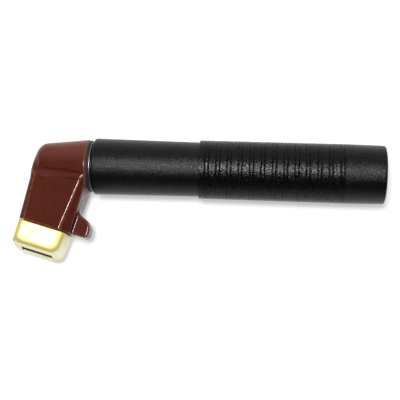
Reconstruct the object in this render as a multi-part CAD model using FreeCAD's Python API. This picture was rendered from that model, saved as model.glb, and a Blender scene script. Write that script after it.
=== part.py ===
import FreeCAD, Part
import math
import os
from FreeCAD import Vector

# Electrode holder with a twist handle, in millimetres.
#
# +X runs along the handle towards the welding cable, and +Z is up with the holder lying on its side.
# The origin is on the handle's axis, in the plane of the rear mouth where the cable goes in.
# The head is at the -X end. Its arm leans away from the handle, towards -Y and a little towards -X.
#
# Twisting the handle drives a nut, the nut moves a follower ring and the push rod towards the head,
# and the rod rocks a jaw lever that grips the electrode in the slot of the head.

# ---- Driving dimensions: stations along the handle -------------------------------------------------
HEAD_END = -186.7            # right end face of the head, where the washers begin
HANDLE_FRONT = -183.9        # front rim of the handle tube
GRIP_START = -116.6
GRIP_END = -25.1
FRONT_RADIUS = 18.0          # front tube, at its rim
STEP_RADIUS = 17.3           # front tube, at the grip
GRIP_START_RADIUS = 18.6
GRIP_END_RADIUS = 18.75
REAR_RADIUS = 18.4           # handle at its rear mouth
SLEEVE_SEAT_RADIUS = 16.8
TUBE_BORE = 14.6
MOUTH_BORE = 13.2
MOUTH_LENGTH = 20.6

# ---- Grip sleeve rings -----------------------------------------------------------------------------
RING_COUNT = 13
RING_PITCH = 6.97
FIRST_RING = -112.2
GROOVE_SPACING = 2.2
GROOVE_WIDTH = 0.55
GROOVE_DEPTH = 0.55

# ---- Head and arm ----------------------------------------------------------------------------------
BARREL_RADIUS = 17.2         # head barrel at its right end
BARREL_TAPER = 0.105         # radius lost per millimetre towards the left
ARM_ROOT_X = -202.8          # where the arm's centre line crosses the handle's axis
ARM_LEAN = math.radians(15)  # from -Y towards -X
ARM_SIDE_DRAFT = math.radians(3)
SHELL_END = 42.0             # where the insulator stops, along the arm
TIP_END = 60.4               # end of the bare brass at mid height
TIP_SLANT = 0.05             # slant of the end: length lost per millimetre of height
LEAD_IN_END = 59.0           # steeper lead-in that is cut across the slot's mouth, at mid height
LEAD_IN_SLANT = 0.2
LEAD_IN_LEFT = -11.5         # left of the lead-in the corner keeps its full length
TIP_EDGE = 3.8               # roundness of the tip's front and back edges
TIP_CORNERS = (3.9, 5.8)     # left and right corner
LEFT_SIDE = -18.0            # left face of the arm, across the arm, at the root
RIGHT_SIDE = 18.2
FACE_TOP = 15.2              # half thickness of the arm near the barrel
FACE_BOTTOM = 12.8           # half thickness at the insulator's end
TIP_HALF_THICKNESS = 12.2
TAB_HALF_THICKNESS = 5.5
ARM_EDGE = 3.2               # roundness of the arm's left edges
BEVEL_TOP = 15.6             # where the bevel starts across the arm, at the root
BEVEL_BOTTOM = 12.2          # and at the insulator's end
BEVEL_SLOPE = 0.9            # drop of the bevel per millimetre across the arm
SHOULDER_Y = -9.5            # where the arm's face begins to fall away into the barrel
BARREL_LEFT = ARM_ROOT_X - 19.0
BARREL_ROUND = 7.0

# ---- Brass core ------------------------------------------------------------------------------------
CORE_RADIUS = 12.4
CORE_HALF_WIDTH = 12.3
CORE_HALF_THICKNESS = 8.5
SLOT_HALF_THICKNESS = 2.6
SLOT_LEFT = -9.8
SLOT_RIGHT = 10.2
CONTACT_START = 43.0         # fixed contact: its span along the arm
CONTACT_END = 57.6
CONTACT_FACE = 8.2           # and across it
CONTACT_BACK = 11.6
CONTACT_RECESS = 9.0

# ---- Mechanism -------------------------------------------------------------------------------------
STEM_RADIUS = 10.0
STEM_FRONT = HEAD_END - 8.8
STEM_REAR = -18.6
ROD_WAY_END = -208.0         # how far the push rod's bore runs into the lever's cavity
ROD_RADIUS = 4.0
RUNNING_CLEARANCE = 0.06
SOCKET_RADIUS = 7.6
SOCKET_DEPTH = 42.0
PIVOT_S = 17.5
PIVOT_T = -1.5
PIVOT_RADIUS = 2.5
LEVER_ARM = 16.5             # pivot to the centre of the lever's nose
NOSE_RADIUS = 3.5
JAW_SWING = math.radians(11.6)
LEVER_HALF_THICKNESS = 2.3
CROSS_PIN_X = -151.9
CROSS_PIN_RADIUS = 2.0
ROD_REAR = CROSS_PIN_X + 7.5
ROD_TRAVEL = 2 * LEVER_ARM * math.sin(JAW_SWING / 2)
FOLLOWER_RADIUS = 12.3
FOLLOWER_HALF_LENGTH = 7.5
NUT_BORE = 12.5
SCREW_ANGLE = math.radians(13)  # handle screws, from +Z towards +Y
FRONT_SCREW_X = -162.4
REAR_SCREW_X = -14.0
HANDLE_SCREW_RADIUS = 2.6
FRONT_SCREW_SEAT = 13.2      # distance from the axis that each handle screw reaches in to
REAR_SCREW_SEAT = 12.0
CABLE_SCREWS_X = (-32.6, -46.6)
RETAINER_X = -22.6
RETAINER_THICKNESS = 1.2
SPRING_S = 29.0              # the jaw spring's place along the arm
SPRING_START = 2.1           # across the arm at rest, against the lever
SPRING_END = 11.6            # bottom of its pocket
SPRING_RADIUS = 1.8
SPRING_WIRE = 0.35
SPRING_TURNS = 6

ARM = Vector(-math.sin(ARM_LEAN), -math.cos(ARM_LEAN), 0)
ACROSS = Vector(math.cos(ARM_LEAN), -math.sin(ARM_LEAN), 0)
ROOT = Vector(ARM_ROOT_X, 0, 0)
UP = Vector(0, 0, 1)
ALONG_X = Vector(1, 0, 0)


# ---- Small builders --------------------------------------------------------------------------------
def on_arm(s, t, z=0.0):
    """Point at distance s along the arm, t across it and height z."""
    return ROOT + ARM * s + ACROSS * t + UP * z


def rod_x(start, end, radius):
    """Solid cylinder on the handle's axis."""
    return Part.makeCylinder(radius, end - start, Vector(start, 0, 0), ALONG_X)


def ring_x(start, end, outer, inner):
    """Plain ring on the handle's axis."""
    return rod_x(start, end, outer).cut(rod_x(start - 1, end + 1, inner))


def turned(profile):
    """Solid of revolution about the handle's axis, from (x, radius) points."""
    points = [Vector(x, radius, 0) for x, radius in profile]
    wire = Part.makePolygon(points + points[:1])
    return Part.Face(wire).revolve(Vector(0, 0, 0), ALONG_X, 360)


def rounded_wire(corners):
    """Closed flat wire through (point, radius) corners, each corner rounded with its radius."""
    starts = []
    ends = []
    arcs = []
    count = len(corners)
    for i, (corner, radius) in enumerate(corners):
        before = (corners[i - 1][0] - corner).normalize()
        after = (corners[(i + 1) % count][0] - corner).normalize()
        if radius == 0:
            starts.append(corner)
            ends.append(corner)
            arcs.append(None)
            continue
        half = before.getAngle(after) / 2
        reach = radius / math.tan(half)
        first = corner + before * reach
        last = corner + after * reach
        centre = corner + (before + after).normalize() * (radius / math.sin(half))
        middle = centre + (corner - centre).normalize() * radius
        starts.append(first)
        ends.append(last)
        arcs.append(Part.Arc(first, middle, last).toShape())
    edges = []
    for i in range(count):
        if arcs[i] is not None:
            edges.append(arcs[i])
        edges.append(Part.makeLine(ends[i], starts[(i + 1) % count]))
    return Part.Wire(edges)


def arm_plate(corners, low, high):
    """Prism whose outline is (s, t, radius) corners in the arm's plane, between two heights."""
    wire = rounded_wire([(on_arm(s, t, low), radius) for s, t, radius in corners])
    return Part.Face(wire).extrude(UP * (high - low))


def arm_pin(s, t, radius, half_length):
    """Pin square to the arm's plane."""
    return Part.makeCylinder(radius, 2 * half_length, on_arm(s, t, -half_length), UP)


def turn_about_pivot(shape, angle):
    """Copy of a shape turned about the jaw's pivot pin."""
    copy = shape.copy()
    copy.rotate(on_arm(PIVOT_S, PIVOT_T), UP, math.degrees(angle))
    return copy


def flat_edges(shape, height):
    """Edges that lie in the plane z = height."""
    return [e for e in shape.Edges if all(abs(v.Point.z - height) < 1e-6 for v in e.Vertexes)]


def radial(x, angle, radius, inner, outer):
    """Cylinder that points out of the handle's axis, at an angle from +Z towards +Y."""
    direction = Vector(0, math.sin(angle), math.cos(angle))
    return Part.makeCylinder(radius, outer - inner, Vector(x, 0, 0) + direction * inner, direction)


def set_screw(x, angle, radius, inner, outer):
    """Headless screw with a hexagon socket in its outer end."""
    direction = Vector(0, math.sin(angle), math.cos(angle))
    body = radial(x, angle, radius, inner, outer)
    side = Vector(0, math.cos(angle), -math.sin(angle))
    centre = Vector(x, 0, 0) + direction * (outer - 1.6)
    corners = []
    for k in range(6):
        turn = math.radians(60 * k)
        spoke = ALONG_X * math.cos(turn) + side * math.sin(turn)
        corners.append(centre + spoke * (radius * 0.6))
    socket = Part.Face(Part.makePolygon(corners + corners[:1])).extrude(direction * 3)
    return body.cut(socket)


def beyond(point, outward):
    """Everything on the outer side of a plane: a large block whose base is centred on the point."""
    size = 200
    block = Part.makeBox(size, size, size, Vector(-size / 2, -size / 2, 0))
    block.Placement = FreeCAD.Placement(point, FreeCAD.Rotation(UP, outward))
    return block


def beyond_left_side(inset):
    """Everything past the arm's left face, with the face moved inwards by an inset."""
    lean = ARM_LEAN - ARM_SIDE_DRAFT
    outward = Vector(-math.cos(lean), math.sin(lean), 0)
    return beyond(on_arm(0, LEFT_SIDE) - outward * inset, outward)


# ---- Head: insulator and brass core ----------------------------------------------------------------
def barrel():
    """Tapered round body of the head, rounded at its left end, running on past the head's right end."""
    def radius_at(x):
        return BARREL_RADIUS - BARREL_TAPER * (HEAD_END - x)

    right = HEAD_END + 5
    profile = rounded_wire([
        (Vector(right, 0, 0), 0), (Vector(right, radius_at(right), 0), 0),
        (Vector(BARREL_LEFT, radius_at(BARREL_LEFT), 0), BARREL_ROUND), (Vector(BARREL_LEFT, 0, 0), 0),
    ])
    return Part.Face(profile).revolve(Vector(0, 0, 0), ALONG_X, 360)


def arm_body():
    """Outer shape of the insulated arm, from its sloping shoulders in the barrel to its open end."""
    arm = arm_plate([
        (-5, LEFT_SIDE - 6, 0), (-5, RIGHT_SIDE, 0), (SHELL_END, RIGHT_SIDE, 0), (SHELL_END, LEFT_SIDE - 6, 0),
    ], -25, 25).cut(beyond_left_side(0))
    face_line = ARM * SHELL_END + UP * (FACE_BOTTOM - FACE_TOP)
    bevel_line = face_line + ACROSS * (BEVEL_BOTTOM - BEVEL_TOP)
    face_normal = face_line.cross(ACROSS).normalize()
    bevel_normal = bevel_line.cross(ACROSS - UP * BEVEL_SLOPE).normalize()
    front_cutters = [
        beyond(on_arm(0, 0, FACE_TOP), face_normal),
        beyond(on_arm(0, BEVEL_TOP, FACE_TOP), bevel_normal),
        beyond(Vector(ARM_ROOT_X, SHOULDER_Y, FACE_TOP), Vector(0, 0.67, 0.75)),
    ]
    for cutter in front_cutters:
        arm = arm.cut([cutter, cutter.mirror(Vector(0, 0, 0), UP)])
    left_edges = []
    for edge in arm.Edges:
        first, last = [v.Point - ROOT for v in edge.Vertexes]
        if abs((first - last).dot(ARM)) > 24 and abs(edge.CenterOfMass.z) > 5 and first.dot(ACROSS) < 0:
            left_edges.append(edge)
    return arm.makeFillet(ARM_EDGE, left_edges)


def hook_tab():
    """Hook on the right of the arm, for hanging the holder up and for resting it clear of the bench."""
    tab = arm_plate([
        (20.0, 14.0, 0), (20.0, 17.7, 0), (27.6, 17.9, 4.0), (31.6, 28.4, 3.4),
        (41.6, 29.6, 3.4), (41.6, 14.0, 0),
    ], -TAB_HALF_THICKNESS, TAB_HALF_THICKNESS)
    rims = flat_edges(tab, TAB_HALF_THICKNESS) + flat_edges(tab, -TAB_HALF_THICKNESS)
    rims = [e for e in rims if (e.CenterOfMass - ROOT).dot(ACROSS) > 17.6]
    return tab.makeFillet(1.3, rims)


def head_outside():
    """Outer shape of the head insulator."""
    keep = Part.makeBox(100, 200, 80, Vector(HEAD_END - 100, -150, -40))
    return barrel().fuse(arm_body()).common(keep).fuse(hook_tab())


def core_outside():
    """Brass core without its hollows: round socket, arm and the bare tip."""
    socket = rod_x(HEAD_END - 48, HEAD_END, CORE_RADIUS).cut(beyond_left_side(2.8))
    arm = arm_plate([
        (-2, -CORE_HALF_WIDTH, 0), (-2, CORE_HALF_WIDTH, 0),
        (SHELL_END, CORE_HALF_WIDTH, 0), (SHELL_END, -CORE_HALF_WIDTH, 0),
    ], -CORE_HALF_THICKNESS, CORE_HALF_THICKNESS)
    return socket.fuse([arm, bare_tip()]).removeSplitter()


def bare_tip():
    """Bare brass below the insulator, rounded outside, with a lead-in across the slot's mouth."""
    long_end = TIP_END + 5
    tip = arm_plate([
        (SHELL_END, -15.6, 0), (SHELL_END, 16.4, 0), (long_end, 15.2, 0), (long_end, -15.0, 0),
    ], -TIP_HALF_THICKNESS, TIP_HALF_THICKNESS)
    tip = tip.cut(beyond(on_arm(TIP_END, 0), (ARM + UP * TIP_SLANT).normalize()))
    for radius, side in zip(TIP_CORNERS, (-1, 1)):
        corner = [
            e for e in tip.Edges
            if abs(e.tangentAt(e.FirstParameter).z) > 0.9 and (e.CenterOfMass - ROOT).dot(ACROSS) * side > 10
            and (e.CenterOfMass - ROOT).dot(ARM) > SHELL_END + 5
        ]
        tip = tip.makeFillet(radius, corner)
    rims = flat_edges(tip, TIP_HALF_THICKNESS) + flat_edges(tip, -TIP_HALF_THICKNESS)
    rims = [e for e in rims if (e.CenterOfMass - ROOT).dot(ARM) > SHELL_END + 0.1]
    tip = tip.makeFillet(TIP_EDGE, rims)
    lead_in = beyond(on_arm(LEAD_IN_END, 0), (ARM + UP * LEAD_IN_SLANT).normalize())
    return tip.cut(lead_in.cut(beyond(on_arm(0, LEAD_IN_LEFT), -ACROSS)))


def lever_cavity():
    """Hollow for the jaw lever and the electrode, open at the bottom of the tip."""
    low = -SLOT_HALF_THICKNESS
    high = SLOT_HALF_THICKNESS
    nose = Part.makeBox(15.6, 24.8, high - low, Vector(ARM_ROOT_X - 12.2, -20, low))
    swing = arm_plate([
        (8, -8.4, 0), (8, 7.4, 0), (34, SLOT_RIGHT, 0), (TIP_END + 5, SLOT_RIGHT, 0),
        (TIP_END + 5, SLOT_LEFT, 0), (34, SLOT_LEFT, 0),
    ], low, high)
    return nose.fuse(swing)


def fixed_contact():
    """Hard copper insert in the right wall of the slot, with cross grooves."""
    insert = arm_plate([
        (CONTACT_START, CONTACT_FACE, 0), (CONTACT_START, CONTACT_BACK, 0),
        (CONTACT_END, CONTACT_BACK, 0), (CONTACT_END, CONTACT_FACE, 0),
    ], -SLOT_HALF_THICKNESS, SLOT_HALF_THICKNESS)
    for s in range(45, 57, 2):
        insert = insert.cut(arm_plate([
            (s - 0.5, CONTACT_FACE - 0.2, 0), (s, CONTACT_FACE + 0.4, 0), (s + 0.5, CONTACT_FACE - 0.2, 0),
        ], -SLOT_HALF_THICKNESS - 1, SLOT_HALF_THICKNESS + 1))
    return insert


def contact_recess():
    """Recess that the fixed contact is brazed into."""
    return arm_plate([
        (CONTACT_START, CONTACT_RECESS, 0), (CONTACT_START, CONTACT_BACK, 0),
        (CONTACT_END, CONTACT_BACK, 0), (CONTACT_END, CONTACT_RECESS, 0),
    ], -SLOT_HALF_THICKNESS, SLOT_HALF_THICKNESS)


def spring_pocket():
    """Blind hole for the jaw's return spring, in the right wall of the cavity."""
    return Part.makeCylinder(2.5, 5.0, on_arm(SPRING_S, SPRING_END - 5.0), ACROSS)


def return_spring():
    """Compression spring that opens the jaw when the handle is backed off."""
    length = SPRING_END - SPRING_START - 2 * SPRING_WIRE
    helix = Part.makeHelix(length / SPRING_TURNS, length, SPRING_RADIUS)
    start = Part.makeCircle(SPRING_WIRE, Vector(SPRING_RADIUS, 0, 0), Vector(0, 1, 0))
    spring = Part.Wire(helix.Edges).makePipeShell([Part.Wire(start)], True, True)
    turn = FreeCAD.Rotation(Vector(0, 0, 1), ACROSS)
    spring.Placement = FreeCAD.Placement(on_arm(SPRING_S, SPRING_START + SPRING_WIRE), turn)
    return spring


def head_parts():
    pin_hole = arm_pin(PIVOT_S, PIVOT_T, PIVOT_RADIUS, CORE_HALF_THICKNESS)
    core_solid = core_outside()
    insulator = head_outside().cut(core_solid)
    socket = rod_x(STEM_FRONT, HEAD_END + 1, 8.5)
    rod_way = rod_x(ROD_WAY_END, STEM_FRONT + 1, ROD_RADIUS + 0.5)
    lock_pin = radial(HEAD_END - 4.4, math.pi / 2, 1.5, -12.0, 12.0)
    core = core_solid.cut([lever_cavity(), contact_recess(), pin_hole, socket, rod_way])
    core = core.cut([spring_pocket(), lock_pin])
    stem = stem_body().cut(lock_pin)
    return {
        "head_insulator": insulator,
        "head_casting": core,
        "fixed_contact": fixed_contact(),
        "jaw_pivot_pin": pin_hole,
        "jaw_return_spring": return_spring(),
        "stem_lock_pin": lock_pin.cut(rod_x(ROD_WAY_END, HEAD_END, ROD_RADIUS + 0.5)),
        "conductor_stem": stem,
        "insulating_washer": ring_x(HEAD_END, HEAD_END + 0.9, 16.5, STEM_RADIUS),
        "collar_ring": ring_x(HEAD_END + 0.9, HEAD_END + 1.7, 15.9, STEM_RADIUS),
    }


# ---- Stem: the current-carrying backbone inside the handle -----------------------------------------
def stem_body():
    """Brass bar with the push rod's bore in front and the cable's socket behind."""
    profile = [
        (STEM_FRONT, 0), (STEM_FRONT, 8.5), (HEAD_END, 8.5), (HEAD_END, STEM_RADIUS),
        (STEM_REAR - 0.8, STEM_RADIUS), (STEM_REAR, STEM_RADIUS - 0.8), (STEM_REAR, 0),
    ]
    stem = turned(profile)
    bore = rod_x(STEM_FRONT - 1, ROD_REAR + 4, ROD_RADIUS + RUNNING_CLEARANCE)
    socket = rod_x(STEM_REAR - SOCKET_DEPTH, STEM_REAR + 1, SOCKET_RADIUS)
    slot_start = CROSS_PIN_X - ROD_TRAVEL - CROSS_PIN_RADIUS - 0.5
    slot_end = CROSS_PIN_X + CROSS_PIN_RADIUS + 0.5
    slot_half = CROSS_PIN_RADIUS + RUNNING_CLEARANCE
    pin_slot = Part.makeBox(slot_end - slot_start, 24, 2 * slot_half, Vector(slot_start, -12, -slot_half))
    groove = ring_x(RETAINER_X, RETAINER_X + RETAINER_THICKNESS, STEM_RADIUS + 1, STEM_RADIUS - 0.8)
    cutters = [bore, socket, pin_slot, groove]
    cutters += [radial(x, 0, 2.5, 6.0, 12.0) for x in CABLE_SCREWS_X]
    return stem.cut(cutters)


def retaining_ring():
    """Open snap ring in the stem's groove, which takes the handle's thrust."""
    ring = ring_x(RETAINER_X, RETAINER_X + RETAINER_THICKNESS, 12.4, STEM_RADIUS - 0.8)
    gap = Part.makeBox(4, 6, 20, Vector(RETAINER_X - 1, -3, -20))
    return ring.cut(gap)


def cable_sleeve():
    """Soft copper sleeve, split along its length, that the set screws press onto the cable."""
    sleeve = ring_x(STEM_REAR - 40, STEM_REAR - 1, SOCKET_RADIUS - 0.02, 6.9)
    split = Part.makeBox(60, 1.2, 12, Vector(STEM_REAR - 50, -0.6, -12))
    return sleeve.cut(split)


def stem_parts():
    screws = [set_screw(x, 0, 2.5, SOCKET_RADIUS, STEM_RADIUS - 0.8) for x in CABLE_SCREWS_X]
    return {
        "rear_retaining_ring": retaining_ring(),
        "thrust_washer": ring_x(RETAINER_X - 1.3, RETAINER_X - 0.3, 13.6, STEM_RADIUS + 0.08),
        "cable_sleeve": cable_sleeve(),
        "cable_set_screws": Part.makeCompound(screws),
    }


# ---- Push rod group ---------------------------------------------------------------------------------
def rod_front_x():
    """Where the rod's hard button touches the lever's nose while the jaw is open."""
    pivot = on_arm(PIVOT_S, PIVOT_T)
    return pivot.x + LEVER_ARM * math.sin(JAW_SWING / 2) + NOSE_RADIUS + 0.06


def rod_parts():
    front = rod_front_x()
    pin_hole = Part.makeCylinder(CROSS_PIN_RADIUS, 30, Vector(CROSS_PIN_X, -15, 0), Vector(0, 1, 0))
    reach = FOLLOWER_RADIUS - 0.4
    pin = Part.makeCylinder(CROSS_PIN_RADIUS, 2 * reach, Vector(CROSS_PIN_X, -reach, 0), Vector(0, 1, 0))
    rod = turned([
        (front + 4, 0), (front + 4, ROD_RADIUS), (ROD_REAR - 0.6, ROD_RADIUS),
        (ROD_REAR, ROD_RADIUS - 0.6), (ROD_REAR, 0),
    ])
    shank = rod_x(front + 3.9, front + 9, 1.8)
    button = turned([
        (front, 0), (front, ROD_RADIUS - 1.0), (front + 0.8, ROD_RADIUS - 0.2),
        (front + 4, ROD_RADIUS - 0.2), (front + 4, 0),
    ]).fuse(shank)
    follower = ring_x(
        CROSS_PIN_X - FOLLOWER_HALF_LENGTH, CROSS_PIN_X + FOLLOWER_HALF_LENGTH,
        FOLLOWER_RADIUS, STEM_RADIUS + RUNNING_CLEARANCE)
    return {
        "push_rod": rod.cut([shank, pin_hole]),
        "thrust_button": button.removeSplitter(),
        "cross_pin": pin,
        "follower_ring": follower.cut(pin_hole),
    }


# ---- Jaw group --------------------------------------------------------------------------------------
def jaw_shapes():
    """Lever and contact, drawn in the closed position."""
    boss = arm_pin(PIVOT_S, PIVOT_T, 5.6, LEVER_HALF_THICKNESS)
    pivot = on_arm(PIVOT_S, PIVOT_T)
    tilt = JAW_SWING / 2
    nose_centre = pivot + Vector(-math.sin(tilt), math.cos(tilt), 0) * LEVER_ARM
    nose = Part.makeCylinder(
        NOSE_RADIUS, 2 * LEVER_HALF_THICKNESS, nose_centre - UP * LEVER_HALF_THICKNESS, UP)
    side = Vector(math.cos(tilt), math.sin(tilt), 0)
    neck_points = [
        pivot - side * 4.6, pivot + side * 4.6, nose_centre + side * 2.9, nose_centre - side * 2.9,
    ]
    neck = Part.Face(Part.makePolygon([p - UP * LEVER_HALF_THICKNESS for p in neck_points + neck_points[:1]]))
    neck = neck.extrude(UP * 2 * LEVER_HALF_THICKNESS)
    lower = arm_plate([
        (15, -5.5, 0), (15, 2.8, 0), (41, 5.6, 0), (57.2, 5.6, 1.0), (57.2, -1.2, 1.5), (40, -3.2, 0),
    ], -LEVER_HALF_THICKNESS, LEVER_HALF_THICKNESS)
    hole = arm_pin(PIVOT_S, PIVOT_T, PIVOT_RADIUS + 0.05, 10)
    lever = boss.fuse([nose, neck, lower]).removeSplitter().cut(hole)
    contact = arm_plate([
        (41.5, 5.6, 0), (41.5, 7.8, 0), (57.2, 7.8, 0), (57.2, 5.6, 0),
    ], -LEVER_HALF_THICKNESS, LEVER_HALF_THICKNESS)
    for s in range(43, 57, 2):
        contact = contact.cut(arm_plate([
            (s - 0.5, 8.0, 0), (s, 7.3, 0), (s + 0.5, 8.0, 0),
        ], -10, 10))
    rivets = [Part.makeCylinder(1.1, 6.4, on_arm(s, 0.4), ACROSS) for s in (45.0, 53.0)]
    return lever.cut(rivets), contact.cut(rivets), Part.makeCompound(rivets)


def jaw_parts():
    lever, contact, rivets = [turn_about_pivot(shape, -JAW_SWING) for shape in jaw_shapes()]
    return {"jaw_lever": lever, "jaw_contact": contact, "jaw_contact_rivets": rivets}


# ---- Handle group -----------------------------------------------------------------------------------
def handle_tube():
    """Moulded tube with a seat for the grip sleeve and a thicker rear end."""
    tube = turned([
        (HANDLE_FRONT, TUBE_BORE), (HANDLE_FRONT, FRONT_RADIUS - 1.2), (HANDLE_FRONT + 0.4, FRONT_RADIUS - 0.5),
        (HANDLE_FRONT + 1.3, FRONT_RADIUS), (GRIP_START, STEP_RADIUS), (GRIP_START, SLEEVE_SEAT_RADIUS),
        (GRIP_END, SLEEVE_SEAT_RADIUS), (GRIP_END, GRIP_END_RADIUS), (-1.4, REAR_RADIUS),
        (-0.4, REAR_RADIUS - 0.4), (0, REAR_RADIUS - 1.3), (0, MOUTH_BORE),
        (-MOUTH_LENGTH, MOUTH_BORE), (-MOUTH_LENGTH, TUBE_BORE),
    ])
    holes = [
        radial(FRONT_SCREW_X, SCREW_ANGLE, HANDLE_SCREW_RADIUS, 10, 25),
        radial(REAR_SCREW_X, SCREW_ANGLE, HANDLE_SCREW_RADIUS, 10, 25),
    ]
    return tube.cut(holes)


def grip_sleeve():
    """Rubber sleeve with pairs of fine grooves all round."""
    def radius_at(x):
        share = (x - GRIP_START) / (GRIP_END - GRIP_START)
        return GRIP_START_RADIUS + share * (GRIP_END_RADIUS - GRIP_START_RADIUS)

    profile = [(GRIP_START, SLEEVE_SEAT_RADIUS), (GRIP_START, radius_at(GRIP_START))]
    for ring in range(RING_COUNT):
        for groove in range(2):
            x = FIRST_RING + ring * RING_PITCH + groove * GROOVE_SPACING
            half = GROOVE_WIDTH / 2
            profile += [
                (x - half, radius_at(x - half)), (x, radius_at(x) - GROOVE_DEPTH),
                (x + half, radius_at(x + half)),
            ]
    profile += [(GRIP_END, GRIP_END_RADIUS), (GRIP_END, SLEEVE_SEAT_RADIUS)]
    return turned(profile)


def handle_parts():
    nut = ring_x(CROSS_PIN_X - 18.5, CROSS_PIN_X + 25, TUBE_BORE, NUT_BORE)
    nut_dimple = radial(FRONT_SCREW_X, SCREW_ANGLE, HANDLE_SCREW_RADIUS, FRONT_SCREW_SEAT, 20)
    end_bush = ring_x(STEM_REAR, 0, MOUTH_BORE, 11.0)
    bush_dimple = radial(REAR_SCREW_X, SCREW_ANGLE, HANDLE_SCREW_RADIUS, REAR_SCREW_SEAT, 20)
    return {
        "handle_tube": handle_tube(),
        "grip_sleeve": grip_sleeve(),
        "front_bush": ring_x(HANDLE_FRONT - 0.5, HANDLE_FRONT + 11, TUBE_BORE, STEM_RADIUS + RUNNING_CLEARANCE),
        "drive_nut": nut.cut(nut_dimple),
        "rear_bush": ring_x(RETAINER_X - 12, RETAINER_X - 1.6, TUBE_BORE, STEM_RADIUS + RUNNING_CLEARANCE),
        "cable_end_bush": end_bush.cut(bush_dimple),
        "front_handle_screw": set_screw(
            FRONT_SCREW_X, SCREW_ANGLE, HANDLE_SCREW_RADIUS, FRONT_SCREW_SEAT, STEP_RADIUS + 0.1),
        "rear_handle_screw": set_screw(
            REAR_SCREW_X, SCREW_ANGLE, HANDLE_SCREW_RADIUS, REAR_SCREW_SEAT, REAR_RADIUS - 0.2),
    }


def main():
    os.makedirs("parts", exist_ok=True)
    for group in (head_parts(), stem_parts(), rod_parts(), jaw_parts(), handle_parts()):
        for name, shape in group.items():
            if not shape.isValid():
                print("not valid:", name)
            print(f"{name:22s} solids {len(shape.Solids)}  volume {shape.Volume:10.1f}")
            shape.exportStep(f"parts/{name}.step")


main()
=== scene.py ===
import math

import bpy
import numpy as np
from mathutils import Matrix, Vector, noise


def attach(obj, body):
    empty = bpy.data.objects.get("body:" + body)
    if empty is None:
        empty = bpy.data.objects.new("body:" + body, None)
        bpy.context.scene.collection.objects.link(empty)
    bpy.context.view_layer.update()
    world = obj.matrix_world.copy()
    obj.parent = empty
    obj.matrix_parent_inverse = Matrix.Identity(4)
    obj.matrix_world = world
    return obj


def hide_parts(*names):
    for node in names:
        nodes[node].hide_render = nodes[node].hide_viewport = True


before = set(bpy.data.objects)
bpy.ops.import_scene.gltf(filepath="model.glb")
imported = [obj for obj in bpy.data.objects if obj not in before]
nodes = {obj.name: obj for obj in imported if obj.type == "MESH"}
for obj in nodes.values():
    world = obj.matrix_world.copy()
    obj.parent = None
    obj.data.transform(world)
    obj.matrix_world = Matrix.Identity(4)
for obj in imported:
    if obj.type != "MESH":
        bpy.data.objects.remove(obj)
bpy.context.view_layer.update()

# Everything below is worked out in millimetres, in the frame of the CAD model, and scaled to metres
# when a mesh is made. X runs along the handle to the cable, the arm points to -Y, Z is up.
MM = 0.001

HEAD_END = -186.7                # right end face of the head, where the washers begin
HANDLE_FRONT = -183.9            # front rim of the handle tube
GRIP_START = -116.6
GRIP_END = -25.1
ARM_ROOT = np.array([-202.8, 0.0, 0.0])
ARM_LEAN = math.radians(15)
ARM = np.array([-math.sin(ARM_LEAN), -math.cos(ARM_LEAN), 0.0])
ACROSS = np.array([math.cos(ARM_LEAN), -math.sin(ARM_LEAN), 0.0])
SCREW_ANGLE = math.radians(13)   # the handle's two screws, round the axis from the top
FRONT_SCREW_X = -162.4
REAR_SCREW_X = -14.0


# ---- Meshes ------------------------------------------------------------------------------------------
def add_mesh(name, vertices, faces, smooth_angle=None):
    """Object from vertices in millimetres. Faces sharper than smooth_angle (degrees) keep a hard edge."""
    mesh = bpy.data.meshes.new(name)
    mesh.from_pydata((np.asarray(vertices) * MM).tolist(), [], [list(map(int, f)) for f in faces])
    mesh.validate()
    mesh.shade_smooth()
    if smooth_angle is not None:
        mesh.set_sharp_from_angle(angle=math.radians(smooth_angle))
    obj = bpy.data.objects.new(name, mesh)
    bpy.context.scene.collection.objects.link(obj)
    return obj


def place(obj, body, slot, material, *replaced):
    """Give a piece its material and its body, and hide the CAD nodes that it stands for; the slot is not
    used.
    """
    obj.data.materials.append(material)
    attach(obj, body)
    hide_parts(*replaced)


def rows_to_faces(rows, count):
    """Quads between closed rows of count vertices each; rows gives each row's first vertex number."""
    faces = []
    for low, high in zip(rows, rows[1:]):
        for k in range(count):
            n = (k + 1) % count
            faces.append((low + k, high + k, high + n, low + n))
    return faces


def rounded_profile(corners):
    """(x, radius) outline with each (x, radius, rounding) corner replaced by a short arc."""
    steps = 5
    points = []
    count = len(corners)
    for i, (x, r, rounding) in enumerate(corners):
        here = np.array([x, r], float)
        if rounding == 0:
            points.append(here)
            continue
        before = np.array(corners[i - 1][:2], float) - here
        after = np.array(corners[(i + 1) % count][:2], float) - here
        before /= np.linalg.norm(before)
        after /= np.linalg.norm(after)
        half = math.acos(np.clip(before @ after, -1, 1)) / 2
        middle = (before + after) / np.linalg.norm(before + after)
        centre = here + middle * rounding / math.sin(half)
        start = here + before * rounding / math.tan(half) - centre
        end = here + after * rounding / math.tan(half) - centre
        turn = math.atan2(start[0] * end[1] - start[1] * end[0], start @ end)
        for k in range(steps + 1):
            a = turn * k / steps
            cos, sin = math.cos(a), math.sin(a)
            points.append(centre + (start[0] * cos - start[1] * sin, start[0] * sin + start[1] * cos))
    return points


def make_ring(name, body, slot, material, node, corners):
    """Ring turned about the handle's axis, from the (x, radius, rounding) corners of its section."""
    count = 192
    profile = rounded_profile(corners)
    vertices = []
    for x, r in profile:
        for k in range(count):
            a = 2 * math.pi * k / count
            vertices.append((x, -r * math.sin(a), r * math.cos(a)))
    rows = [i * count for i in range(len(profile))] + [0]
    obj = add_mesh(name, vertices, rows_to_faces(rows, count), 50)
    place(obj, body, slot, material, node)


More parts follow.
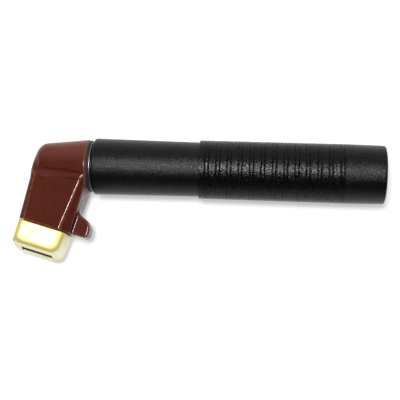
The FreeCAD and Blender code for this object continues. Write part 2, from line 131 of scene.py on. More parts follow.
# ---- Shapes from distance functions -------------------------------------------------------------------
def meet(a, b, r):
    """What is inside both a and b, with its edge rounded."""
    return np.minimum(-r, np.maximum(a, b)) + np.hypot(np.maximum(r + a, 0), np.maximum(r + b, 0))


def join(a, b, r):
    """What is inside a or b, with a fillet in the corner between them."""
    return np.maximum(r, np.minimum(a, b)) - np.hypot(np.maximum(r - a, 0), np.maximum(r - b, 0))


def skin(distance, low, high, cell):
    """Vertices and quads on the zero surface of a distance function, by surface nets.

    Each grid cell that the surface passes through gets one vertex, at the mean of its edge crossings.
    """
    low = np.array(low, float)
    size = [int(math.ceil((b - a) / cell)) + 1 for a, b in zip(low, high)]
    grid = np.stack(np.meshgrid(*[np.arange(n) for n in size], indexing="ij"), -1).reshape(-1, 3)
    field = distance(low + grid * cell).reshape(size)
    inside = field < 0
    count = np.zeros([n - 1 for n in size], int)
    offsets = np.array([(i, j, k) for i in (0, 1) for j in (0, 1) for k in (0, 1)])
    for i, j, k in offsets:
        count += inside[i:size[0] - 1 + i, j:size[1] - 1 + j, k:size[2] - 1 + k]
    active = (count > 0) & (count < 8)
    number = np.full(active.shape, -1)
    number[active] = np.arange(active.sum())
    cells = np.argwhere(active)
    total = np.zeros((len(cells), 3))
    hits = np.zeros(len(cells))
    for axis in range(3):
        unit = np.eye(3, dtype=int)[axis]
        for offset in offsets[offsets[:, axis] == 0]:
            first = cells + offset
            last = first + unit
            a = field[tuple(first.T)]
            b = field[tuple(last.T)]
            crossed = (a < 0) != (b < 0)
            share = np.where(crossed, a / np.where(a == b, 1, a - b), 0)
            total += np.where(crossed[:, None], first + unit * share[:, None], 0)
            hits += crossed
    points = low + cell * total / hits[:, None]
    faces = []
    for axis in range(3):
        unit = np.eye(3, dtype=int)[axis]
        u = np.eye(3, dtype=int)[(axis + 1) % 3]
        v = np.eye(3, dtype=int)[(axis + 2) % 3]
        starts = np.argwhere(np.ones([n - unit[i] for i, n in enumerate(size)], bool))
        starts = starts[(starts[:, (axis + 1) % 3] > 0) & (starts[:, (axis + 2) % 3] > 0)]
        limit = np.array(size) - 1
        starts = starts[(starts < limit).all(1)]
        a = inside[tuple(starts.T)]
        b = inside[tuple((starts + unit).T)]
        for out, order in ((a & ~b, (0, 1, 2, 3)), (b & ~a, (3, 2, 1, 0))):
            e = starts[out]
            around = [e, e - u, e - u - v, e - v]
            quad = np.stack([number[tuple(c.T)] for c in around], 1)
            faces.append(quad[:, order])
    faces = np.concatenate(faces)

    # The points are drawn onto the surface along its slope, in short moves.
    step = 0.02
    for _ in range(4):
        value = distance(points)
        slope = np.stack([
            (distance(points + step * e) - distance(points - step * e)) / (2 * step) for e in np.eye(3)
        ], 1)
        move = value[:, None] * slope / np.maximum((slope ** 2).sum(1), 0.2)[:, None]
        length = np.linalg.norm(move, axis=1)
        points = points - move * np.minimum(1, 0.4 * cell / np.maximum(length, 1e-9))[:, None]
    return points, faces


def outward_bend(distance, points, reach):
    """How sharply the surface turns away around each point: positive on outer edges, negative in corners."""
    around = sum(distance(points + reach * e) + distance(points - reach * e) for e in np.eye(3))
    return (around - 6 * distance(points)) / reach ** 2


def arm_frame(p):
    """Distances along the arm and across it."""
    d = p - ARM_ROOT
    return d @ ARM, d @ ACROSS


def plane(s, t, z, point, normal):
    """Distance past a plane. Its point and outward normal are given as (along the arm, across it, up)."""
    normal = np.array(normal, float) / np.linalg.norm(normal)
    return (s - point[0]) * normal[0] + (t - point[1]) * normal[1] + (z - point[2]) * normal[2]


def slab(value, middle, half):
    """Distance outside a layer of twice the half thickness."""
    return np.abs(value - middle) - half


def smooth(share):
    """A share from 0 to 1 that starts and ends gently."""
    return share * share * (3 - 2 * share)


def keep_value(obj, label, values):
    """Store one number for each vertex, for the material to read."""
    attribute = obj.data.attributes.new(label, "FLOAT", "POINT")
    attribute.data.foreach_set("value", values.astype(np.float32))


# ---- Head ---------------------------------------------------------------------------------------------
# Lengths along the arm are counted from its root on the handle's axis, and widths across it.
SHELL_END = 42.0                 # along the arm, where the moulding stops and the bare tip begins
LEFT_SIDE = -18.0
RIGHT_SIDE = 18.2
LEFT_SIDE_TURN = math.radians(3)
FACE_HEIGHT = 15.2               # flat face of the arm, above the handle's axis at the root
SHOULDER_Y = -9.5                # top edge of the arm's face
BARREL_LEFT = -221.8
BARREL_RADIUS = 17.2             # at the head's right end
BARREL_TAPER = 0.105
TAB_END = 41.6
TAB_ROOT = 17.7
TAB_HALF_DEPTH = 5.5

SOCKET_RADIUS = 12.4             # hollow in the moulding for the brass core
SOCKET_WALL = 2.8
CORE_HALF_WIDTH = 12.3
CORE_HALF_DEPTH = 8.5
CORE_PLAY = 0.05                 # the core is this much smaller than its hollow

TIP_END = 60.4                   # the bare tip
TIP_LEAN = 0.05
TIP_LEFT = -15.6
TIP_LEFT_TAPER = 0.0256
TIP_RIGHT = 16.4
TIP_RIGHT_TAPER = 0.0513
TIP_HALF_DEPTH = 12.2
LEAD_IN_END = 59.0               # slanted lead-in across the mouth of the slot
LEAD_IN_LEAN = 0.2
LEAD_IN_LEFT = -13.0

STEM_FRONT = HEAD_END - 8.8
STEM_RADIUS = 8.5
ROD_WAY_FRONT = -208.0
ROD_WAY_RADIUS = 4.5
SLOT_HALF = 2.6


def left_face(p):
    """Distance past the arm's left side, which turns a little from the arm's own line."""
    lean = ARM_LEAN - LEFT_SIDE_TURN
    start = ARM_ROOT + ACROSS * LEFT_SIDE
    return (p - start) @ np.array([-math.cos(lean), math.sin(lean), 0.0])


def head_shape(p):
    """Distance to the moulded head: tapered barrel, bevelled arm and hook tab, hollow for the brass core."""
    s, t = arm_frame(p)
    height = np.abs(p[:, 2])
    radius = np.hypot(p[:, 1], p[:, 2])
    side = (radius - BARREL_RADIUS + BARREL_TAPER * (HEAD_END - p[:, 0])) / math.hypot(1, BARREL_TAPER)
    barrel = meet(side, BARREL_LEFT - p[:, 0], 7.0)

    face = plane(s, t, height, (0, 0, FACE_HEIGHT), (2.4, 0, 42))
    bevel = plane(s, t, height, (0, 15.6, FACE_HEIGHT), (5.46, 37.8, 42))
    left_bevel = plane(s, t, height, (0, -15.3, FACE_HEIGHT), (4.2, -27, 36))
    shoulder = (p[:, 1] - SHOULDER_Y) * 0.666 + (height - FACE_HEIGHT) * 0.746
    arm = meet(face, shoulder, 1.0)
    near_top = np.clip((6.0 - s) / 6, 0, 1)
    arm = meet(arm, bevel, 0.35 + 0.4 * np.clip(s / 35, 0, 1) + 2.2 * near_top * near_top)
    arm = meet(arm, left_bevel, 0.5)
    arm = meet(arm, left_face(p), 1.6)
    arm = meet(arm, t - RIGHT_SIDE, 0.7)

    left_share = np.clip((-210.0 - p[:, 0]) / 12, 0, 1)
    head = join(barrel, arm, 2.6 + 3.6 * left_share * left_share)
    head = meet(head, s - SHELL_END, 0.45)
    head = meet(head, p[:, 0] - HEAD_END, 2.2)

    flank = plane(s, t, 0 * s, (27.6, 17.9, 0), (-10.5, 4.0, 0))
    edge = plane(s, t, 0 * s, (31.6, 28.4, 0), (-1.2, 10.0, 0))
    tab = meet(meet(flank, edge, 3.4), s - TAB_END, 3.4)
    tab = meet(join(tab, t - TAB_ROOT, 4.0), height - TAB_HALF_DEPTH, 1.3)
    tab = np.maximum(np.maximum(tab, 20 - s), s - TAB_END)
    head = join(head, np.maximum(tab, 12.5 - t), 1.1)

    socket = np.maximum(radius - SOCKET_RADIUS, left_face(p) + SOCKET_WALL)
    core = np.maximum(np.maximum(np.abs(t) - CORE_HALF_WIDTH, height - CORE_HALF_DEPTH), -2 - s)
    return meet(head, -np.minimum(socket, core), 0.3)


def make_head(material):
    points, faces = skin(head_shape, (-232, -51, -18.4), (-182.6, 18.4, 18.4), 0.42)
    obj = add_mesh("head_shell", points, faces)
    keep_value(obj, "edge", np.clip(outward_bend(head_shape, points, 0.5), -2, 3))
    place(obj, "head", "brown_insulation", material, "head_insulator")


def core_hollows(p):
    """Distance outside the brass core's hollows, from the jaw's cavity to the pivot pin's hole."""
    s, t = arm_frame(p)
    x, y, z = p.T
    radius = np.hypot(y, z)
    widening = np.clip((s - 8) / 26, 0, 1)
    swing = np.maximum(-8.4 - 1.4 * widening - t, t - 7.4 - 2.8 * widening)
    swing = np.maximum(swing, 8 - s)
    nose = np.maximum(slab(x, ARM_ROOT[0] - 4.4, 7.8), slab(y, -7.6, 12.4))
    contact_recess = np.maximum(slab(s, 50.3, 7.3), slab(t, 10.3, 1.3))
    flat = np.maximum(np.minimum(np.minimum(swing, nose), contact_recess), np.abs(z) - SLOT_HALF)
    socket = np.maximum(radius - STEM_RADIUS, STEM_FRONT - x)
    rod_way = np.maximum(radius - ROD_WAY_RADIUS, ROD_WAY_FRONT - x)
    pocket = np.maximum(np.hypot(s - 29.0, z) - 2.5, slab(t, 9.1, 2.5))
    pin = np.hypot(s - 17.5, t + 1.5) - 2.5
    return np.minimum(np.minimum(np.minimum(flat, socket), np.minimum(rod_way, pocket)), pin)


def core_shape(p):
    """Distance to the brass core: socket, arm and the bare rounded tip with its slot."""
    s, t = arm_frame(p)
    z = p[:, 2]
    depth = np.abs(z)
    radius = np.hypot(p[:, 1], z)
    above = np.clip(z / 6, 0, 1)
    lead_in = smooth(np.clip((t - LEAD_IN_LEFT + 3.5 * above) / 4.5, 0, 1))
    end = s - (TIP_END - TIP_LEAN * z) * (1 - lead_in) - (LEAD_IN_END - LEAD_IN_LEAN * z) * lead_in
    past_shell = s - SHELL_END
    outline = meet(end, TIP_LEFT_TAPER * past_shell + TIP_LEFT - t, 3.9)
    outline = meet(outline, t - TIP_RIGHT + TIP_RIGHT_TAPER * past_shell, 5.8)
    sharper = np.clip((s - 48) / 7, 0, 1) * np.clip((t - LEAD_IN_LEFT) / 4.5, 0, 1)
    sharper = sharper * np.clip((14 - t) / 5, 0, 1) * (z > 0)
    tip = meet(outline, depth - TIP_HALF_DEPTH, 4.2 - 1.8 * sharper)
    tip = np.maximum(tip, SHELL_END + 0.5 - s)

    arm = np.maximum(np.abs(t) - CORE_HALF_WIDTH, depth - CORE_HALF_DEPTH) + CORE_PLAY
    arm = np.maximum(arm, np.maximum(-2 - s, s - SHELL_END - 2))
    socket = np.maximum(radius - SOCKET_RADIUS, left_face(p) + SOCKET_WALL) + CORE_PLAY
    socket = np.maximum(socket, p[:, 0] - HEAD_END)
    body = np.minimum(np.minimum(tip, arm), socket)
    return meet(body, -core_hollows(p), 0.25)


def make_core(material):
    points, faces = skin(core_shape, (-234, -63.5, -13), (-185.6, 13.5, 13), 0.5)
    obj = add_mesh("brass_core", points, faces)
    keep_value(obj, "edge", np.clip(outward_bend(core_shape, points, 0.8), -2, 3))
    along = arm_frame(points)[0]
    # Painted shade: near-black on the walls of the core's hollows and along its seam with the moulding.
    hollow_shade = np.maximum(1 - np.abs(core_hollows(points)) / 0.3, (SHELL_END + 0.9 - along) / 0.3)
    keep_value(obj, "hollow_shade", np.clip(hollow_shade, 0, 1))
    place(obj, "head", "brass", material, "head_casting")


# ---- Handle -------------------------------------------------------------------------------------------
FRONT_RADIUS = 18.0              # front tube, at its rim
STEP_RADIUS = 17.3               # front tube, where the grip begins
SLEEVE_SEAT_RADIUS = 16.8
GRIP_START_RADIUS = 18.6
GRIP_END_RADIUS = 18.75
REAR_RADIUS = 18.4
FRONT_ROUNDING = 1.2
REAR_ROUNDING = 1.3
TUBE_BORE = 14.6
MOUTH_BORE = 13.2
MOUTH_LENGTH = 20.6
TUBE_COUNT = 224                 # vertices round the tube
SCREW_HOLE_RADIUS = 2.6
HOLE_CELL = 0.56                 # finer grid round a screw hole, and how many of its cells lie each way
HOLE_REACH = 8

GROOVE_RINGS = 13                # pairs of grooves round the grip
FIRST_RING = -112.2
RING_PITCH = 6.97
GROOVE_GAP = 2.2
GROOVE_HALF_WIDTH = 0.18
PEBBLE_SIZE = 0.8
PEBBLE_HEIGHT = 0.022


def lifted(x, sideways, height):
    """Point in the handle's frame from one square to its surface at the screws' angle."""
    cos, sin = math.cos(SCREW_ANGLE), math.sin(SCREW_ANGLE)
    return x, sideways * cos + height * sin, height * cos - sideways * sin


def holed_shell(lines, radius_at, inward=False):
    """Shell round the handle's axis with the two round screw holes let into its grid.

    Returns the vertices, the faces, the loop of vertex numbers on each hole's rim, and the first
    vertex number of each ring.
    """
    count = TUBE_COUNT
    vertices = []
    faces = []
    rows = []
    for x in lines:
        rows.append(len(vertices))
        for k in range(count):
            a = 2 * math.pi * k / count + SCREW_ANGLE
            vertices.append((x, radius_at(x) * math.sin(a), radius_at(x) * math.cos(a)))
    inside = set()
    loops = []
    for hole_x in (FRONT_SCREW_X, REAR_SCREW_X):
        first = min(range(len(lines)), key=lambda i: abs(lines[i] - hole_x)) - HOLE_REACH
        last = first + 2 * HOLE_REACH
        for i in range(first, last):
            for k in range(-HOLE_REACH, HOLE_REACH):
                inside.add((i, k % count))
        border = [(first, k) for k in range(-HOLE_REACH, HOLE_REACH)]
        border += [(i, HOLE_REACH) for i in range(first, last)]
        border += [(last, k) for k in range(HOLE_REACH, -HOLE_REACH, -1)]
        border += [(i, -HOLE_REACH) for i in range(last, first, -1)]
        flat = []
        for i, k in border:
            angle = 2 * math.pi * k / count
            flat.append(np.array([lines[i] - hole_x, radius_at(lines[i]) * math.sin(angle)]))
        loop = [rows[i] + k % count for i, k in border]
        for share in (0.35, 0.65, 0.85, 0.95, 1.0):
            ring = []
            for point in flat:
                rim = point / np.linalg.norm(point) * SCREW_HOLE_RADIUS
                x, sideways = point * (1 - share) + rim * share
                height = math.sqrt(radius_at(hole_x + x) ** 2 - sideways ** 2)
                ring.append(len(vertices))
                vertices.append(lifted(hole_x + x, sideways, height))
            n = len(ring)
            for k in range(n):
                faces.append((loop[k], loop[(k + 1) % n], ring[(k + 1) % n], ring[k]))
            loop = ring
        loops.append(loop)
    for i in range(len(lines) - 1):
        for k in range(count):
            if (i, k) not in inside:
                n = (k + 1) % count
                faces.append((rows[i] + k, rows[i] + n, rows[i + 1] + n, rows[i + 1] + k))
    if inward:
        faces = [f[::-1] for f in faces]
    return vertices, faces, loops, rows


def rim_drop(inset, rounding):
    """How far a rounded rim lies below its surface, at a distance in from its end."""
    if inset >= rounding:
        return 0.0
    return rounding - math.sqrt(max(0.0, rounding ** 2 - (rounding - inset) ** 2))


def tube_radius(x):
    """Outer radius of the handle tube, with rounded rims."""
    if x < GRIP_START:
        start = HANDLE_FRONT + 1.3
        r = FRONT_RADIUS + (STEP_RADIUS - FRONT_RADIUS) * (x - start) / (GRIP_START - start)
        return r - rim_drop(x - HANDLE_FRONT, FRONT_ROUNDING)
    if x <= GRIP_END:
        return SLEEVE_SEAT_RADIUS
    r = GRIP_END_RADIUS + (REAR_RADIUS - GRIP_END_RADIUS) * (x - GRIP_END) / (-1.4 - GRIP_END)
    return r - rim_drop(-x, REAR_ROUNDING)


def spread(start, end, step):
    """Even stations from start to end, about a step apart."""
    count = max(1, round((end - start) / step))
    return [start + (end - start) * k / count for k in range(count + 1)]


def tube_lines(bore):
    """Where the tube's rings of vertices lie, closer together round the screw holes and the rims."""
    reach = HOLE_CELL * HOLE_REACH
    hole_lines = [HOLE_CELL * k for k in range(1 - HOLE_REACH, HOLE_REACH + 1)]
    quarter = [math.pi / 2 * k / 6 for k in range(7)]
    if bore:
        lines = spread(HANDLE_FRONT, FRONT_SCREW_X - reach, 4)
    else:
        lines = [HANDLE_FRONT + FRONT_ROUNDING * (1 - math.cos(a)) for a in quarter]
        lines += spread(HANDLE_FRONT + FRONT_ROUNDING, FRONT_SCREW_X - reach, 2)[1:]
    lines += [FRONT_SCREW_X + x for x in hole_lines]
    lines += spread(FRONT_SCREW_X + reach, GRIP_START - 0.01, 2)[1:]
    if not bore:
        lines += [GRIP_START, GRIP_END]
    lines += spread(GRIP_END + 0.01, REAR_SCREW_X - reach, 2)
    lines += [REAR_SCREW_X + x for x in hole_lines]
    if bore:
        lines += spread(REAR_SCREW_X + reach, 0, 2)[1:]
    else:
        lines += spread(REAR_SCREW_X + reach, -REAR_ROUNDING, 2)[1:]
        lines += [REAR_ROUNDING * (math.sin(a) - 1) for a in quarter[1:]]
    return lines


def bore_radius(x):
    return TUBE_BORE if x < -MOUTH_LENGTH else MOUTH_BORE


def make_tube(material):
    """The handle's tube: an outer and an inner shell, joined at the rims and round the screw holes."""
    count = TUBE_COUNT
    outside, faces, outer_loops, outer_rows = holed_shell(tube_lines(False), tube_radius)
    within, inner_faces, inner_loops, inner_rows = holed_shell(tube_lines(True), bore_radius, inward=True)
    shift = len(outside)
    vertices = outside + within
    faces = faces + [tuple(shift + i for i in f) for f in inner_faces]
    for outer, inner in zip(outer_loops, inner_loops):
        n = len(outer)
        for k in range(n):
            m = (k + 1) % n
            faces.append((outer[k], outer[m], shift + inner[m], shift + inner[k]))
    for outer, inner, flip in ((outer_rows[0], inner_rows[0], False), (outer_rows[-1], inner_rows[-1], True)):
        for k in range(count):
            m = (k + 1) % count
            quad = (shift + inner + k, shift + inner + m, outer + m, outer + k)
            faces.append(quad[::-1] if flip else quad)
    obj = add_mesh("handle_shell", vertices, faces, 35)
    place(obj, "handle", "black_moulding", material, "handle_tube")


def make_grip(material):
    """Rubber sleeve: pairs of slightly wandering grooves on a softly pebbled skin."""
    count = 320
    xs = spread(GRIP_START + 0.25, GRIP_END - 0.05, 0.22)
    around = np.arange(count) * 2 * math.pi / count
    direction = np.stack([np.zeros(count), np.sin(around), np.cos(around)], 1)
    grid_x = np.repeat(np.array(xs)[:, None], count, axis=1)
    share = (grid_x - GRIP_START) / (GRIP_END - GRIP_START)
    radius = GRIP_START_RADIUS + (GRIP_END_RADIUS - GRIP_START_RADIUS) * share
    for ring in range(GROOVE_RINGS):
        for groove in range(2):
            centre = FIRST_RING + ring * RING_PITCH + groove * GROOVE_GAP
            seed = ring * 2 + groove
            wander = np.array([
                0.34 * noise.noise((math.sin(a) * 2.2 + 9 * seed, math.cos(a) * 2.2, seed * 3.1))
                + 0.16 * noise.noise((math.sin(a) * 7 + 5 * seed, math.cos(a) * 7, seed * 1.7))
                for a in around
            ])
            depth = np.array([
                0.42 + 0.22 * noise.noise((math.sin(a) * 5 - 7 * seed, math.cos(a) * 5, seed * 2.3))
                for a in around
            ])
            away = np.abs(grid_x - centre - wander[None, :])
            radius -= depth[None, :] * np.exp(-(away / GROOVE_HALF_WIDTH) ** 2)
            radius += 0.04 * np.exp(-((away - 0.6) / 0.25) ** 2)
    pebble = np.zeros_like(radius)
    for i, x in enumerate(xs):
        for k in range(count):
            y, z = GRIP_START_RADIUS * direction[k][1:]
            pebble[i, k] = noise.noise((x / PEBBLE_SIZE, y / PEBBLE_SIZE, z / PEBBLE_SIZE))
    radius += PEBBLE_HEIGHT * pebble
    vertices = []
    rows = []
    first = [(GRIP_START, 16.85), (GRIP_START, 18.3), (GRIP_START + 0.08, 18.5)]
    last = [(GRIP_END - 0.01, 18.7), (GRIP_END, 18.6), (GRIP_END, 16.85)]

    def add_row(row_x, row_radius):
        rows.append(len(vertices))
        for k in range(count):
            r = row_radius[k] if isinstance(row_radius, np.ndarray) else row_radius
            vertices.append((row_x, r * direction[k][1], r * direction[k][2]))

    for x, r in first:
        add_row(x, r)
    for i, x in enumerate(xs):
        add_row(x, radius[i])
    for x, r in last:
        add_row(x, r)
    faces = rows_to_faces(rows + [0], count)
    faces = [f[::-1] for f in faces]
    obj = add_mesh("grip_rubber", vertices, faces, 60)
    place(obj, "handle", "grip_rubber", material, "grip_sleeve")


def make_screw(name, node, x, low, high, material):
    """Headless screw with a rounded rim and a hexagon socket, square to the handle's surface."""
    radius = 2.5
    count = 48
    outline = [
        (radius - 0.3, low), (radius, low + 0.3), (radius, high - 0.35),
        (radius - 0.1, high - 0.12), (radius - 0.35, high),
    ]
    vertices = []
    rows = []

    def ring(height, radius_of):
        rows.append(len(vertices))
        for k in range(count):
            a = 2 * math.pi * k / count
            r = radius_of(a)
            vertices.append((r * math.cos(a), r * math.sin(a), height))

    def hexagon(size):
        return lambda a: size / math.cos((a + math.pi / 6) % (math.pi / 3) - math.pi / 6)

    for r, height in outline:
        ring(height, lambda a: r)
    ring(high, hexagon(1.42))
    ring(high - 0.1, hexagon(1.3))
    ring(high - 1.6, hexagon(1.27))
    faces = rows_to_faces(rows, count)
    faces = [f[::-1] for f in faces]
    for row, height, flip in ((rows[0], low, True), (rows[-1], high - 2.0, False)):
        centre = len(vertices)
        vertices.append((0, 0, height))
        for k in range(count):
            face = (row + k, row + (k + 1) % count, centre)
            faces.append(face[::-1] if flip else face)
    turned = [lifted(x + along, sideways, height) for along, sideways, height in vertices]
    obj = add_mesh(name, turned, faces, 40)
    place(obj, "handle", "screw_black", material, node)


# ---- Materials ----------------------------------------------------------------------------------------
class Shader:
    """A material with a principled shader, and short calls for the nodes that feed it."""

    def __init__(self, name, **sockets):
        self.material = bpy.data.materials.new(name)
        self.material.use_nodes = True
        self.tree = self.material.node_tree
        self.surface = next(n for n in self.tree.nodes if n.type == "BSDF_PRINCIPLED")
        self.place = self.node("ShaderNodeTexCoord").outputs["Object"]
        for label, value in sockets.items():
            self.surface.inputs[label.replace("_", " ")].default_value = value

    def node(self, kind, **settings):
        node = self.tree.nodes.new(kind)
        for label, value in settings.items():
            setattr(node, label, value)
        return node

    def link(self, start, socket):
        self.tree.links.new(start, socket)

    def axes(self):
        """The object's X, Y and Z, in metres."""
        split = self.node("ShaderNodeSeparateXYZ")
        self.link(self.place, split.inputs[0])
        return split.outputs

    def attribute(self, label):
        """A number stored on the mesh's vertices."""
        return self.node("ShaderNodeAttribute", attribute_name=label).outputs["Fac"]

    def around(self, stretch):
        """Coordinates along the handle's axis and out from it, for marks left by turning."""
        x, y, z = self.axes()
        out = self.maths("SQRT", self.maths("ADD", self.maths("POWER", y, 2), self.maths("POWER", z, 2)))
        combine = self.node("ShaderNodeCombineXYZ")
        self.link(self.maths("MULTIPLY", x, stretch), combine.inputs[0])
        self.link(self.maths("MULTIPLY", out, stretch), combine.inputs[1])
        return combine.outputs[0]

    def maths(self, operation, a, b=0.0):
        node = self.node("ShaderNodeMath", operation=operation)
        for socket, value in zip(node.inputs, (a, b)):
            if isinstance(value, (int, float)):
                socket.default_value = value
            else:
                self.link(value, socket)
        return node.outputs[0]

    def cloud(self, scale, detail, rough, vector=None):
        node = self.node("ShaderNodeTexNoise")
        node.inputs["Scale"].default_value = scale
        node.inputs["Detail"].default_value = detail
        node.inputs["Roughness"].default_value = rough
        self.link(vector or self.place, node.inputs["Vector"])
        return node.outputs["Fac"]

    def cells(self, scale, feature="F1"):
        node = self.node("ShaderNodeTexVoronoi", feature=feature)
        node.inputs["Scale"].default_value = scale
        self.link(self.place, node.inputs["Vector"])
        return node.outputs["Distance"]

    def between(self, value, low, high, to_low=0.0, to_high=1.0):
        """A value stretched from one range to another and held inside it."""
        node = self.node("ShaderNodeMapRange", clamp=True)
        for label, number in zip(("From Min", "From Max", "To Min", "To Max"), (low, high, to_low, to_high)):
            node.inputs[label].default_value = number
        self.link(value, node.inputs["Value"])
        return node.outputs["Result"]

    def blend(self, share, first, last):
        """Colour mixed from first to last; each is a colour or another node's output."""
        node = self.node("ShaderNodeMix", data_type="RGBA")
        # Sockets 6 and 7 are the mix's two colours.
        sockets = (node.inputs["Factor"], node.inputs[6], node.inputs[7])
        for socket, value in zip(sockets, (share, first, last)):
            if isinstance(value, tuple):
                socket.default_value = (*value, 1.0)
            elif isinstance(value, (int, float)):
                socket.default_value = value
            else:
                self.link(value, socket)
        return node.outputs[2]

    def bump(self, height, strength, distance, under=None):
        node = self.node("ShaderNodeBump")
        node.inputs["Strength"].default_value = strength
        node.inputs["Distance"].default_value = distance
        self.link(height, node.inputs["Height"])
        if under is not None:
            self.link(under, node.inputs["Normal"])
        return node.outputs["Normal"]

    def finish(self, colour, roughness=None, normal=None):
        for value, label in ((colour, "Base Color"), (roughness, "Roughness"), (normal, "Normal")):
            if value is not None:
                self.link(value, self.surface.inputs[label])
        return self.material


def moulded_brown():
    """Glossy dark red-brown phenolic: painted light on the barrel's top side, painted shade in corners,
    rubbed edges with a painted highlight, and a painted grey reflection on the end rim.
    """
    m = Shader("brown_phenolic", IOR=1.32, Specular_IOR_Level=0.5, Specular_Tint=(1.0, 0.78, 0.72, 1.0))
    mottle = m.between(m.cloud(90, 4, 0.6), 0.3, 0.7)
    colour = m.blend(mottle, (0.050, 0.0090, 0.0050), (0.064, 0.0125, 0.0074))
    x, y, _ = m.axes()
    # Painted light: the barrel's top side, towards +Y, is coloured lighter, standing in for the light that
    # falls there.
    painted_light_top = m.maths("MULTIPLY", m.between(y, -0.001, 0.016), m.between(mottle, 0.0, 1.0, 0.8, 1.0))
    colour = m.blend(painted_light_top, colour, (0.135, 0.030, 0.0165))
    fine = m.between(m.cloud(1300, 3, 0.7), 0.40, 0.75)
    colour = m.blend(m.maths("MULTIPLY", fine, 0.34), colour, (0.12, 0.032, 0.020))
    edge = m.attribute("edge")
    # Painted shade: concave corners and creases are coloured darker.
    corner = m.between(edge, -0.05, -0.25)
    colour = m.blend(m.maths("MULTIPLY", corner, 0.6), colour, (0.020, 0.0045, 0.003))
    # Convex edges turn a lighter orange: partly rubbed wear, partly a painted highlight along the ridges.
    edge_wear_and_highlight = m.maths("MULTIPLY", m.between(edge, 0.30, 1.3), m.between(m.cloud(420, 4, 0.7), 0.30, 0.62))
    colour = m.blend(m.maths("MULTIPLY", edge_wear_and_highlight, 0.75), colour, (0.28, 0.095, 0.060))
    spots = m.between(m.cells(520), 0.14, 0.06)
    patches = m.between(m.cloud(130, 3, 0.6), 0.54, 0.68)
    specks = m.maths("MULTIPLY", spots, patches)
    colour = m.blend(m.maths("MULTIPLY", specks, 0.35), colour, (0.26, 0.12, 0.09))
    roughness = m.between(m.cloud(160, 4, 0.65), 0.3, 0.75, 0.08, 0.15)
    roughness = m.maths("ADD", roughness, m.maths("MULTIPLY", m.maths("MAXIMUM", specks, edge_wear_and_highlight), 0.22))
    # The rim at the head's right end is made rougher, and tinted grey as a painted reflection.
    dull_rim_and_reflection = m.maths("MULTIPLY", m.between(x, -0.1890, -0.1880), m.between(y, -0.020, -0.017))
    roughness = m.maths("ADD", roughness, m.maths("MULTIPLY", dull_rim_and_reflection, 0.20))
    colour = m.blend(m.maths("MULTIPLY", dull_rim_and_reflection, 0.5), colour, (0.07, 0.042, 0.036))
    normal = m.bump(m.cloud(260, 2, 0.5), 0.10, 0.0004)
    normal = m.bump(m.cloud(1800, 2, 0.5), 0.05, 0.0001, normal)
    return m.finish(colour, roughness, normal)


def satin_black():
    """Black moulding with a fine sandy grain and a little dust."""
    m = Shader("black_moulding_satin", IOR=1.28, Specular_IOR_Level=0.5)
    tone = m.between(m.cloud(70, 4, 0.6), 0.3, 0.7)
    colour = m.blend(tone, (0.0014, 0.0015, 0.0015), (0.0026, 0.0028, 0.0028))
    dust = m.between(m.cells(1100), 0.13, 0.05)
    dust = m.maths("MULTIPLY", dust, m.between(m.cloud(200, 2, 0.5), 0.55, 0.7))
    colour = m.blend(m.maths("MULTIPLY", dust, 0.3), colour, (0.04, 0.04, 0.04))
    roughness = m.between(m.cloud(1300, 3, 0.7), 0.35, 0.65, 0.21, 0.38)
    normal = m.bump(m.cloud(1300, 3, 0.7), 0.6, 0.00042)
    return m.finish(colour, roughness, normal)


def pebbled_rubber():
    """Black rubber with a leathery pebble, in places shiny from handling."""
    m = Shader("grip_rubber_pebbled", IOR=1.26, Specular_IOR_Level=0.5)
    tone = m.between(m.cloud(110, 4, 0.6), 0.3, 0.7)
    colour = m.blend(tone, (0.0016, 0.0016, 0.0016), (0.0034, 0.0034, 0.0033))
    pits = m.cells(1300, "SMOOTH_F1")
    colour = m.blend(m.between(pits, 0.25, 0.55), colour, (0.0015, 0.0015, 0.0015))
    roughness = m.between(m.cloud(900, 3, 0.6), 0.35, 0.65, 0.14, 0.40)
    normal = m.bump(pits, 0.7, 0.00026)
    normal = m.bump(m.cloud(1500, 2, 0.6), 0.4, 0.00022, normal)
    return m.finish(colour, roughness, normal)


def cast_brass():
    """Bead-blasted brass: pale where it is handled, painted shade as a deeper yellow on its rims and as
    near-black inside the slot and other hollows.
    """
    m = Shader("brass_cast", Metallic=1.0)
    high = m.between(m.maths("ABSOLUTE", m.axes()[2]), 0.0085, 0.0105)
    # Painted shade: the tip's rounded rims are coloured a deeper, darker yellow.
    rim = m.maths("MULTIPLY", m.between(m.attribute("edge"), 0.03, 0.16), high)
    tarnish = m.between(m.cloud(120, 4, 0.6), 0.46, 0.68)
    colour = m.blend(m.maths("MULTIPLY", tarnish, 0.9), (0.97, 0.93, 0.74), (0.86, 0.76, 0.36))
    colour = m.blend(m.maths("MULTIPLY", rim, 0.88), colour, (0.76, 0.68, 0.21))
    marks = m.cloud(1500, 3, 0.6)
    colour = m.blend(m.maths("MULTIPLY", m.between(marks, 0.60, 0.8), 0.25), colour, (0.72, 0.58, 0.25))
    # Painted shade in the hollows and along the seam, from the stored values.
    colour = m.blend(m.maths("MULTIPLY", m.attribute("hollow_shade"), 0.95), colour, (0.02, 0.016, 0.011))
    roughness = m.between(m.cloud(230, 4, 0.7), 0.3, 0.75, 0.66, 0.76)
    normal = m.bump(marks, 0.10, 0.0001)
    return m.finish(colour, roughness, normal)


